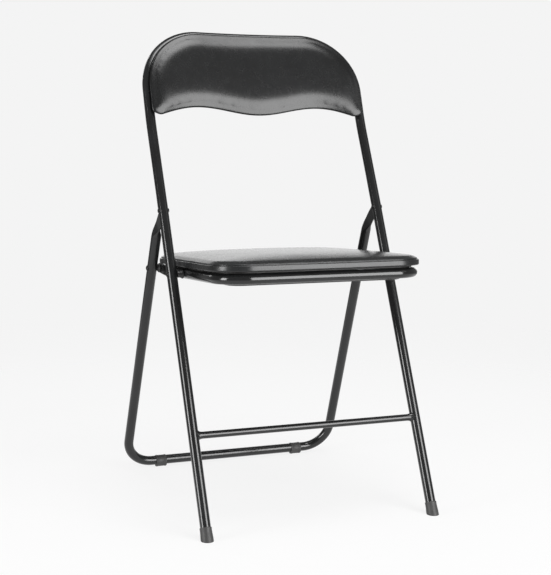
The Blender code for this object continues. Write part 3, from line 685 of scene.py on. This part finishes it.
def rear_round_sections():
    """The round part of one rear leg, and its corner into the floor bar."""
    high = rear_leg_point(REAR_TOP_Z) + REAR_HALF_HIGH * X_AXIS
    low = Vector((REAR_HALF_LOW, REAR_Y, REAR_BAR_Z))
    up = (high - low).normalized()
    turn = math.acos(up.dot(X_AXIS))
    corner = low + REAR_CORNER_R * math.tan(turn / 2) * up
    normal = X_AXIS.cross(up).normalized()
    inward = normal.cross(up).normalized()
    inward = inward if inward.x < 0 else -inward
    centre = corner + REAR_CORNER_R * inward
    points = run_between(high, corner, 14)
    for step in range(29):
        arm = Matrix.Rotation(-(math.pi - turn) * step / 28, 3, normal) @ (corner - centre)
        points.append(centre + arm)
    points += [Vector((points[-1].x * (1 - step / 6), low.y, low.z)) for step in range(1, 6)]
    return [(point, TUBE_R, TUBE_R, 2) for point in points]


def make_rear_frame():
    right = rear_frame_stations()
    bar = [(Vector((0, REAR_Y, REAR_BAR_Z)), TUBE_R, TUBE_R, 2)]
    left = [(mirrored(point), thick, wide, square) for point, thick, wide, square in right]
    sections = right + bar + left[::-1]
    matrices = carried_along([section[0] for section in sections], X_AXIS)
    stations = [(matrix, *section[1:]) for matrix, section in zip(matrices, sections)]
    piece_from("rear_tube", swept(stations, sides=48), PAINT, "rear_frame", "rear_frame_tube")


def make_glides():
    """Sleeves round the floor bar, thicker below it, with rounded rims, a shallow waist and a flat sole."""
    half = GLIDE_LENGTH / 2
    rim = 0.0016
    waist = GLIDE_R - 0.0004
    outer = [(0, half), (GLIDE_R - rim, half), (GLIDE_R - 0.3 * rim, half - 0.3 * rim), (GLIDE_R, half - rim)]
    outer += [(GLIDE_R, half - 0.003), (waist, half - 0.0036)]
    profile = outer + [(radius, -height) for radius, height in outer[::-1]]
    bore_r = TUBE_R + 0.0002
    bore = [(0, half + rim), (bore_r, half + rim), (bore_r, -half - rim), (0, -half - rim)]
    for name, side in SIDES:
        bar = Vector((side * GLIDE_X, REAR_Y, REAR_BAR_Z))
        form = turned(profile, bar - GLIDE_DROP * Z_AXIS, X_AXIS, steps=48)
        cut_level(form)
        form = cut_away(form, turned(bore, bar, X_AXIS, steps=48))
        piece_from(f"glide_sleeve_{name}", form, PLASTIC, "rear_frame", f"rear_glide_{name}")


# Padding

def seat_outline(inset, pull=0.0):
    """Plan points of the seat, anticlockwise, with sides that pull in a little between the corners."""
    half, front, rear = SEAT_HALF - inset, SEAT_FRONT + inset, SEAT_REAR - inset
    radius = SEAT_CORNER_R - inset
    depth = (rear - front) / 2
    centre = (rear + front) / 2
    outline = []
    corners = ((1, -1, -90), (1, 1, 0), (-1, 1, 90), (-1, -1, 180))
    for right, back, start in corners:
        for step in range(17):
            angle = math.radians(start + 90 * step / 16)
            x = right * (half - radius) + radius * math.cos(angle)
            y = back * (depth - radius) + radius * math.sin(angle)
            outline.append((x, y))
        first, after = outline[-1], corners[(corners.index((right, back, start)) + 1) % 4]
        turn = math.radians(after[2])
        x = after[0] * (half - radius) + radius * math.cos(turn)
        y = after[1] * (depth - radius) + radius * math.sin(turn)
        for step in range(1, 16):
            share = step / 16
            outline.append((first[0] + (x - first[0]) * share, first[1] + (y - first[1]) * share))
    pulled = []
    for x, y in outline:
        along_x = max(1 - (x / (half - radius)) ** 2, 0) if abs(y) > depth - 1e-5 else 0
        along_y = max(1 - (y / (depth - radius)) ** 2, 0) if abs(x) > half - 1e-5 else 0
        x -= math.copysign(pull * along_y, x)
        y -= math.copysign(pull * along_x, y)
        pulled.append((x, y + centre))
    return pulled


def rest_lower_edge(x):
    """Height of the backrest's wavy lower edge: a dip in the middle, then a crest and a tip each side."""
    x = abs(x)
    if x < PAD_PEAK_X:
        return PAD_DIP + (PAD_PEAK - PAD_DIP) * (0.5 - 0.5 * math.cos(math.pi * x / PAD_PEAK_X))
    share = (x - PAD_PEAK_X) / (PAD_TIP_X - PAD_PEAK_X)
    return PAD_PEAK - (PAD_PEAK - PAD_TIP) * (1 - math.cos(0.5 * math.pi * share))


def rest_outline(inset, pull=0.0):
    """Outline of the backrest as (x, up) points, anticlockwise from the middle of the lower edge."""
    half = FRONT_HALF - inset
    top = REST_RUN - PAD_TOP_INSET - inset
    radius = TOP_CORNER_R - inset
    tip = PAD_TIP_X - 0.8 * inset
    right = [(tip * step / 30, rest_lower_edge(PAD_TIP_X * step / 30) + inset + pull) for step in range(31)]
    corner = PAD_LOW_CORNER + 0.5 * inset
    low = right[-1][1]
    right += [(tip + (half - tip) * share, low + (corner - low) * share) for share in (0.5, 1)]
    side = top - radius
    right += [(half - pull, corner + (side - corner) * step / 6) for step in range(1, 6)]
    for step in range(25):
        angle = math.pi / 2 * step / 24
        right.append((half - radius * (1 - math.cos(angle)), side + radius * math.sin(angle)))
    right += [((half - radius) * (1 - step / 10), top) for step in range(1, 10)]
    return right + [(0, top)] + [(-x, up) for x, up in right[:0:-1]]


def loop_form(outline, profile):
    """A form that steps in and up from ring to ring. Its first ring is closed, its last is open."""
    form = bmesh.new()
    order = form.verts.layers.int.new("order")
    inset, up, pull = profile[0]
    ring = [form.verts.new((x, y, up)) for x, y in outline(inset, pull)]
    for i, spot in enumerate(ring):
        spot[order] = i
    under = form.faces.new(ring[::-1])
    edges = list(under.edges)
    for inset, up, pull in profile[1:]:
        made = bmesh.ops.extrude_edge_only(form, edges=edges)["geom"]
        edges = [edge for edge in newest(made, bmesh.types.BMEdge) if edge.is_boundary]
        line = outline(inset, pull)
        for spot in newest(made, bmesh.types.BMVert):
            spot.co = (*line[spot[order]], up)
    return form, under, edges


def gridded(form, faces, pitch):
    """Cuts flat faces into squares of the pitch."""
    low = [min(spot.co[axis] for face in faces for spot in face.verts) for axis in (0, 1)]
    high = [max(spot.co[axis] for face in faces for spot in face.verts) for axis in (0, 1)]
    for axis in (0, 1):
        count = max(round((high[axis] - low[axis]) / pitch), 1)
        for step in range(1, count):
            place = Vector((0, 0, 0))
            place[axis] = low[axis] + (high[axis] - low[axis]) * step / count
            normal = Vector((0, 0, 0))
            normal[axis] = 1
            edges = {edge for face in faces for edge in face.edges}
            spots = {spot for face in faces for spot in face.verts}
            cut = bmesh.ops.bisect_plane(
                form, geom=[*faces, *edges, *spots], dist=1e-5, plane_co=place, plane_no=normal
            )
            faces = newest(cut["geom"], bmesh.types.BMFace)
    return faces


def blown_up(mesh, free):
    """How far each free point rises when the flat cover is blown up as cloth, as a share of the highest."""
    scene = bpy.context.scene
    cover = bpy.data.objects.new("blown_cover", mesh.copy())
    scene.collection.objects.link(cover)
    held = cover.vertex_groups.new(name="held")
    held.add([spot.index for spot in mesh.vertices if spot.index not in free], 1.0, "REPLACE")
    cloth = cover.modifiers.new("cloth", "CLOTH")
    cloth.settings.vertex_group_mass = "held"
    cloth.settings.use_pressure = True
    cloth.settings.uniform_pressure_force = 4
    cloth.settings.effector_weights.gravity = 0
    cloth.point_cache.frame_start = 1
    cloth.point_cache.frame_end = 20
    for step in range(1, 21):
        scene.frame_set(step)
    blown = cover.evaluated_get(bpy.context.evaluated_depsgraph_get()).data
    rises = [after.co.z - before.co.z for after, before in zip(blown.vertices, mesh.vertices)]
    bpy.data.objects.remove(cover)
    scene.frame_set(1)
    most = max(rises)
    return [rise / most for rise in rises]


def padded_piece(name, outline, profile, pitch, crown, fullness, place, material, body, node):
    """A cover over foam: stepped edges, and a panel that is blown up, then held flatter by the foam."""
    form, under, edges = loop_form(outline, profile)
    panel = bmesh.ops.contextual_create(form, geom=edges)["faces"]
    panel = gridded(form, panel, pitch)
    gridded(form, [under], 5 * pitch)
    form.verts.index_update()
    rim = profile[-1][1]
    border = {spot for face in form.faces if face not in set(panel) for spot in face.verts}
    free = {spot.index for face in panel for spot in face.verts if spot not in border}
    mesh = bpy.data.meshes.new(name)
    form.to_mesh(mesh)
    shares = blown_up(mesh, free)
    form.verts.ensure_lookup_table()
    for i in free:
        spot = form.verts[i]
        rise = crown * math.tanh(fullness * max(shares[i], 0)) / math.tanh(fullness)
        uneven = noise.noise(Vector((spot.co.x * LUMPS_PER_M, spot.co.y * LUMPS_PER_M, 3.7)))
        spot.co.z = rim + rise * (1 + LUMP_SHARE * uneven)
    bpy.data.meshes.remove(mesh)
    inner = [form.verts[i] for i in free]
    for _ in range(3):
        bmesh.ops.smooth_vert(form, verts=inner, factor=0.5, use_axis_z=True)
    for spot in form.verts:
        spot.co = place(*spot.co)
    clean(form)
    piece = piece_from(name, form, material, body, node)
    finer = piece.modifiers.new("finer", "SUBSURF")
    finer.levels = 1
    finer.render_levels = 1
    return piece


def cushion_profile():
    """(inset, up, side pull) steps of the cushion: tucked under, up the band, into the seam, to the top."""
    band = CUSHION_BAND
    steps = [(0.012, 0), (0.004, 0), (0.0014, 0.0001), (0.0005, 0.0006), (0.0001, 0.0014), (0.0, 0.0026)]
    steps += [(0.0, 0.0050), (0.0, band - 0.0037), (0.0001, band - 0.0028), (0.0006, band - 0.0021)]
    steps += [(0.0014, band - 0.0019), (0.0024, band - 0.0021), (0.0029, band - 0.0018)]
    steps += [(0.0028, band - 0.0010), (0.0025, band - 0.0004), (0.0027, band + 0.0002)]
    steps += [(0.0034, band + 0.0006), (0.0048, band + 0.0013), (0.0076, band + 0.0026)]
    steps.append((0.0115, band + 0.0043))
    return [(inset, up, SIDE_PULL * min(up / band, 1)) for inset, up in steps]


def make_cushion():
    profile = cushion_profile()

    def place(x, back, up):
        return seat_place(x, back, CUSHION_BASE + up)

    crown = CUSHION_BAND + CUSHION_CROWN - profile[-1][1]
    cushion = padded_piece(
        "cushion", seat_outline, profile, 0.006, crown, 1.7, place, SEAT_VINYL, "seat", "seat_cushion"
    )


def make_back_pad():
    edge = PAD_EDGE
    steps = [(0.010, 0), (0.004, 0), (0.0016, 0.0003), (0.0005, 0.0011), (0.0, 0.0024), (0.0002, 0.0036)]
    steps += [(0.0009, 0.0047), (0.0021, edge - 0.0005), (0.0038, edge + 0.0001), (0.0062, edge + 0.0008)]
    steps.append((0.0095, edge + 0.0016))
    profile = [(inset, up, 0.0) for inset, up in steps]
    start = TUBE_R + GAP + BACK_BOARD + GAP

    def place(x, up, out):
        return rest_place(x, up, start + out)

    crown = PAD_EDGE + PAD_CROWN - profile[-1][1]
    pad = padded_piece(
        "back_pad", rest_outline, profile, 0.005, crown, 2.4, place, SHADED_REST_VINYL, "front_frame", "backrest_pad"
    )


# Boards and ring

def flat_board(name, outline, steps, place, body, node, pitch=0.02):
    """A board with rounded edges, through (inset, up) steps of an outline."""
    form, under, edges = loop_form(outline, [(inset, up, 0.0) for inset, up in steps])
    top = bmesh.ops.contextual_create(form, geom=edges)["faces"]
    gridded(form, top, pitch)
    gridded(form, [under], pitch)
    for spot in form.verts:
        spot.co = place(*spot.co)
    clean(form)
    return piece_from(name, form, BOARD, body, node)


def make_boards():
    """The board under the cushion, the stiffening board inside the ring, and the backrest's board."""
    low = RING_R + GAP
    high = low + BOARD_THICK - GAP
    edge = 0.0006
    upper = [(BOARD_INSET + edge, low), (BOARD_INSET, low + edge), (BOARD_INSET, high - edge)]
    upper.append((BOARD_INSET + edge, high))
    flat_board("cushion_board", seat_outline, upper, seat_place, "seat", "seat_board")
    low = -RING_R - UNDER_DROP
    lower = [(UNDER_INSET + 0.004, low), (UNDER_INSET + 0.0016, low + 0.0006)]
    lower += [(UNDER_INSET + 0.0003, low + 0.0018), (UNDER_INSET, low + 0.003)]
    lower.append((UNDER_INSET, low + UNDER_THICK - edge))
    lower.append((UNDER_INSET + edge, low + UNDER_THICK))
    flat_board("under_board", seat_outline, lower, seat_place, "seat", "seat_under_board")
    back = TUBE_R + GAP
    front = back + BACK_BOARD
    inset = REST_BOARD_INSET
    rest = [(inset + edge, back), (inset, back + edge), (inset, front - edge), (inset + edge, front)]
    flat_board("rest_board", rest_outline, rest, rest_place, "front_frame", "backrest_board", pitch=0.012)


def make_seat_ring():
    outline = seat_outline(RING_INSET + RING_R)
    points = [seat_place(x, back, 0) for x, back in outline]
    form = swept(round_stations(points, Z_AXIS, RING_R, closed=True), closed=True)
    piece_from("ring_tube", form, PAINT, "seat", "seat_ring")


# Rivets, washers, spacers, cones, links and screws

def domed(radius, base, height, steps=7):
    """Profile of a domed head from its rim to its top, on a base at that height."""
    curve = []
    for step in range(steps + 1):
        angle = math.pi / 2 * step / steps
        curve.append((radius * math.cos(angle), base + height * (0.25 + 0.75 * math.sin(angle))))
    return [(radius - 0.0002, base), (radius, base + 0.1 * height)] + curve


def rivet_profile(low, high, low_head=True, radius=RIVET_HEAD_R, height=RIVET_HEAD_H):
    """A rivet between two faces, with a domed head on the far one and, if asked, on the near one."""
    profile = domed(radius, high, height)[::-1] + [(RIVET_R, high)]
    if low_head:
        return profile + [(RIVET_R, low)] + [(r, 2 * low - h) for r, h in domed(radius, low, height)]
    return profile + [(RIVET_R, low), (0, low)]


def sunk(radius):
    """How deep a head's rim lies below the crown of the leg that it is driven against."""
    return TUBE_R - math.sqrt(TUBE_R**2 - radius**2)


def flat_ring(inner, outer, low, high):
    """Profile of a washer with eased rims."""
    ease = 0.25 * (high - low)
    profile = [(inner, low), (outer - ease, low), (outer, low + ease), (outer, high - ease)]
    return profile + [(outer - ease, high), (inner, high)]


def add_turned(name, profile, place, axis, material, body, node, closed=False):
    form = turned(profile, place, axis, closed=closed)
    return piece_from(name, form, material, body, node)


def make_hinges():
    """The frame hinges' rivets, their bushes inside the legs, and the seat hinges' pins and spacers."""
    rim = sunk(RIVET_HEAD_R)
    height = RIVET_HEAD_H + rim
    ring_inner = RING_OUTER - 2 * RING_R - GAP
    low, high = RING_OUTER + GAP, FRONT_INNER - GAP
    waist = low + 0.5 * (high - low)
    spacer = [(RIVET_R + GAP, low), (SPACER_END_R - 0.0003, low), (SPACER_END_R, low + 0.0004)]
    spacer += [(SPACER_END_R, low + 0.0012), (SPACER_R, waist), (SPACER_R, high), (RIVET_R + GAP, high)]
    for name, side in SIDES:
        axis = side * X_AXIS
        body = "front_frame"
        rivet = rivet_profile(FRONT_INNER + rim, FRONT_OUTER - rim, height=height)
        add_turned(f"hinge_rivet_{name}", rivet, PIVOT, axis, RIVET, body, f"pivot_rivet_{name}")
        for where in ("inner", "outer"):
            node = f"pivot_bush_{where}_{name}"
            near, far = sorted(abs(corner.x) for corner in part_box(node))
            bush = flat_ring(RIVET_R + GAP, BUSH_R, near, far)
            add_turned(f"hinge_bush_{where}_{name}", bush, PIVOT, axis, NYLON, body, node, closed=True)
        pin = rivet_profile(ring_inner, FRONT_OUTER - rim, height=height)
        add_turned(f"seat_rivet_{name}", pin, SEAT_PIN, axis, RIVET, body, f"seat_pin_{name}")
        node = f"seat_spacer_{name}"
        add_turned(f"seat_bush_{name}", spacer, SEAT_PIN, axis, NYLON, body, node, closed=True)


def make_links():
    """Flat links with round ends, each with its rivet and washer on the ring."""
    span = REAR_PIN - LINK_PIN
    along = span.normalized()
    across = along.cross(X_AXIS)
    ring_inner = RING_OUTER - 2 * RING_R - GAP
    washer = flat_ring(RIVET_R + GAP, WASHER_R, RING_OUTER + GAP, LINK_INNER - GAP)
    for name, side in SIDES:
        form = bmesh.new()
        spots = []
        for centre, start in ((LINK_PIN, 90), (REAR_PIN, -90)):
            for step in range(21):
                angle = math.radians(start + 180 * step / 20)
                spots.append(centre + LINK_HALF * (math.cos(angle) * along + math.sin(angle) * across))
        face = form.faces.new([form.verts.new(spot + side * LINK_INNER * X_AXIS) for spot in spots])
        made = bmesh.ops.extrude_face_region(form, geom=[face])["geom"]
        bmesh.ops.translate(form, verts=newest(made, bmesh.types.BMVert), vec=side * LINK_THICK * X_AXIS)
        clean(form)
        soften(form, 0.0005, angle=50, segments=3)
        piece_from(f"link_plate_{name}", form, PAINT, f"link_{name}", f"fold_link_{name}")
        axis = side * X_AXIS
        pin = rivet_profile(ring_inner, LINK_OUTER + GAP)
        add_turned(f"link_rivet_{name}", pin, LINK_PIN, axis, RIVET, "seat", f"link_pin_{name}")
        node = f"link_washer_{name}"
        add_turned(f"link_ring_{name}", washer, LINK_PIN, axis, NYLON, "seat", node, closed=True)


def make_rear_pins():
    """The rear legs' rivets, and the cone on each that widens towards the link."""
    near = LINK_OUTER + GAP
    far = REAR_PIN_HALF - TUBE_R + 0.0006
    cone = [(RIVET_R + GAP, near), (CONE_LARGE_R - 0.0003, near), (CONE_LARGE_R, near + 0.0004)]
    cone += [(CONE_LARGE_R, near + 0.0014), (CONE_SMALL_R, far), (RIVET_R + GAP, far)]
    rim = sunk(REAR_HEAD_R)
    rivet = rivet_profile(near, REAR_PIN_HALF + TUBE_R - rim, False, REAR_HEAD_R, REAR_HEAD_H + rim)
    body = "rear_frame"
    for name, side in SIDES:
        axis = side * X_AXIS
        add_turned(f"cone_{name}", cone, REAR_PIN, axis, PLASTIC, body, f"rear_cone_{name}", closed=True)
        add_turned(f"rear_rivet_{name}", rivet, REAR_PIN, axis, RIVET, body, f"rear_pin_{name}")


def screw_form(place, axis, reach, under):
    """A pan-head screw with a cross recess: its tip at reach, and its head under the face at that height."""
    head = domed(SCREW_HEAD_R, 0, SCREW_HEAD_H)
    profile = [(0, reach), (0.4 * SCREW_R, reach), (SCREW_R, reach - 0.0008), (SCREW_R, under)]
    profile += [(radius, under - height) for radius, height in head]
    form = turned(profile, place, axis, steps=32)
    top = under - SCREW_HEAD_H
    slots = []
    for long, short in ((0.0023, 0.00045), (0.00045, 0.0023)):
        low, high = Vector((-long, -short, top - 0.001)), Vector((long, short, top + 0.0012))
        slots.append(box_form(low, high, turning_to(place, axis)))
    return cut_away(form, *slots)


def make_screws():
    """Four screws up into the seat's boards and four through the frame into the backrest's board."""
    top = RING_R + GAP + SCREW_DEPTH
    under = -RING_R - UNDER_DROP - GAP
    reach = TUBE_R + GAP + SCREW_DEPTH
    rest_under = -(TUBE_R + GAP) + 0.0005
    for side_name, _ in SIDES:
        for end in ("front", "rear"):
            node = f"seat_screw_{end}_{side_name}"
            low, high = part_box(node)
            offset = (low + high) / 2 - SEAT_PIN
            place = seat_place(offset.x, offset.dot(SEAT_BACK), 0)
            form = screw_form(place, SEAT_UP, top, under)
            piece_from(f"screw_seat_{end}_{side_name}", form, RIVET, "seat", node)
        for end in ("leg", "bar"):
            node = f"backrest_screw_{end}_{side_name}"
            offset = middle(node) - REST_BASE
            place = rest_place(offset.x, offset.dot(REST_UP), 0)
            form = screw_form(place, REST_OUT, reach, rest_under)
            piece_from(f"screw_back_{end}_{side_name}", form, RIVET, "front_frame", node)


# Studio

def make_camera():
    """A long lens at sitting height, to the chair's front left."""
    camera = bpy.data.objects.new("camera", bpy.data.cameras.new("camera"))
    camera.data.lens = CAMERA_LENS
    camera.data.sensor_width = 36
    camera.data.clip_start = 0.05
    forward = CAMERA_FORWARD.normalized()
    right = (CAMERA_RIGHT - CAMERA_RIGHT.dot(forward) * forward).normalized()
    turn = Matrix((right, right.cross(forward), -forward)).transposed()
    camera.matrix_world = Matrix.Translation(CAMERA_AT) @ turn.to_4x4()
    bpy.context.scene.collection.objects.link(camera)
    bpy.context.scene.camera = camera


def add_softbox(name, azimuth, elevation, distance, width, height, radiance):
    """A soft light that looks at the seat. Azimuth 0 is straight in front, and 90 is to the right, at +X."""
    light = bpy.data.lights.new(name, "AREA")
    light.shape = "RECTANGLE"
    light.size = width
    light.size_y = height
    light.energy = math.pi * width * height * radiance
    box = bpy.data.objects.new(name, light)
    a, e = math.radians(azimuth), math.radians(elevation)
    away = Vector((math.sin(a) * math.cos(e), -math.cos(a) * math.cos(e), math.sin(e)))
    box.location = LIGHTS_LOOK_AT + distance * away
    box.rotation_mode = "QUATERNION"
    box.rotation_quaternion = away.to_track_quat("Z", "Y")
    box.visible_camera = False
    bpy.context.scene.collection.objects.link(box)


def make_lights():
    add_softbox("right_box", 25, 8, 2.6, 1.5, 2.2, 9.0)
    add_softbox("left_box", -78, 8, 2.4, 0.8, 1.5, 11.0)
    add_softbox("front_top_box", 22, 74, 2.4, 1.4, 0.9, 7.0)
    add_softbox("top_box", -20, 80, 2.4, 1.8, 1.0, 2.0)
    add_softbox("back_box", 160, 7, 3.2, 3.6, 1.0, 1.6)
    add_softbox("side_box", 58, 33, 2.6, 0.5, 0.9, 0.9)
    add_softbox("rim_strip", -158, 25, 2.6, 0.25, 1.0, 6.0)


def make_world():
    """A pale surround for the camera, and a dimmer one for what the chair reflects."""
    world = bpy.data.worlds.new("studio")
    bpy.context.scene.world = world
    world.use_nodes = True
    tree = world.node_tree
    output = tree.nodes["World Output"]
    ambient = tree.nodes["Background"]
    ambient.inputs["Color"].default_value = shade(0.2)
    seen = tree.nodes.new("ShaderNodeBackground")
    seen.inputs["Color"].default_value = shade(BACKDROP)
    path = tree.nodes.new("ShaderNodeLightPath")
    mix = tree.nodes.new("ShaderNodeMixShader")
    tree.links.new(path.outputs["Is Camera Ray"], mix.inputs[0])
    tree.links.new(ambient.outputs[0], mix.inputs[1])
    tree.links.new(seen.outputs[0], mix.inputs[2])
    tree.links.new(mix.outputs[0], output.inputs[0])


def make_floor():
    """A pale floor that fades into the surround."""
    form = bmesh.new()
    bmesh.ops.create_circle(form, cap_ends=True, segments=96, radius=FLOOR_R)
    floor = object_from("floor", form)
    finish = Finish("pale_floor", 0.9)
    finish.tree.nodes.remove(finish.shader)
    glow = finish.node("ShaderNodeEmission", {}, {"Color": shade(BACKDROP), "Strength": 0.91})
    matt = finish.node("ShaderNodeBsdfDiffuse", {}, {"Color": shade(0.12)})
    both = finish.node("ShaderNodeAddShader", {}, {0: glow, 1: matt})
    clear = finish.node("ShaderNodeBsdfTransparent")
    far = finish.node("ShaderNodeVectorMath", {"operation": "LENGTH"}, {0: finish.place}, "Value")
    faded = finish.node("ShaderNodeMixShader", {}, {0: far.between(0.9, 2.2), 1: both, 2: clear})
    finish.feed(finish.tree.nodes["Material Output"].inputs["Surface"], faded)
    floor.data.materials.append(finish.material)


def main():
    bpy.context.scene.view_settings.view_transform = "Standard"
    make_camera()
    make_world()
    make_lights()
    make_floor()
    make_front_frame()
    make_stretcher()
    make_feet()
    make_rear_frame()
    make_glides()
    make_seat_ring()
    make_boards()
    make_hinges()
    make_links()
    make_rear_pins()
    make_screws()
    make_cushion()
    make_back_pad()


main()
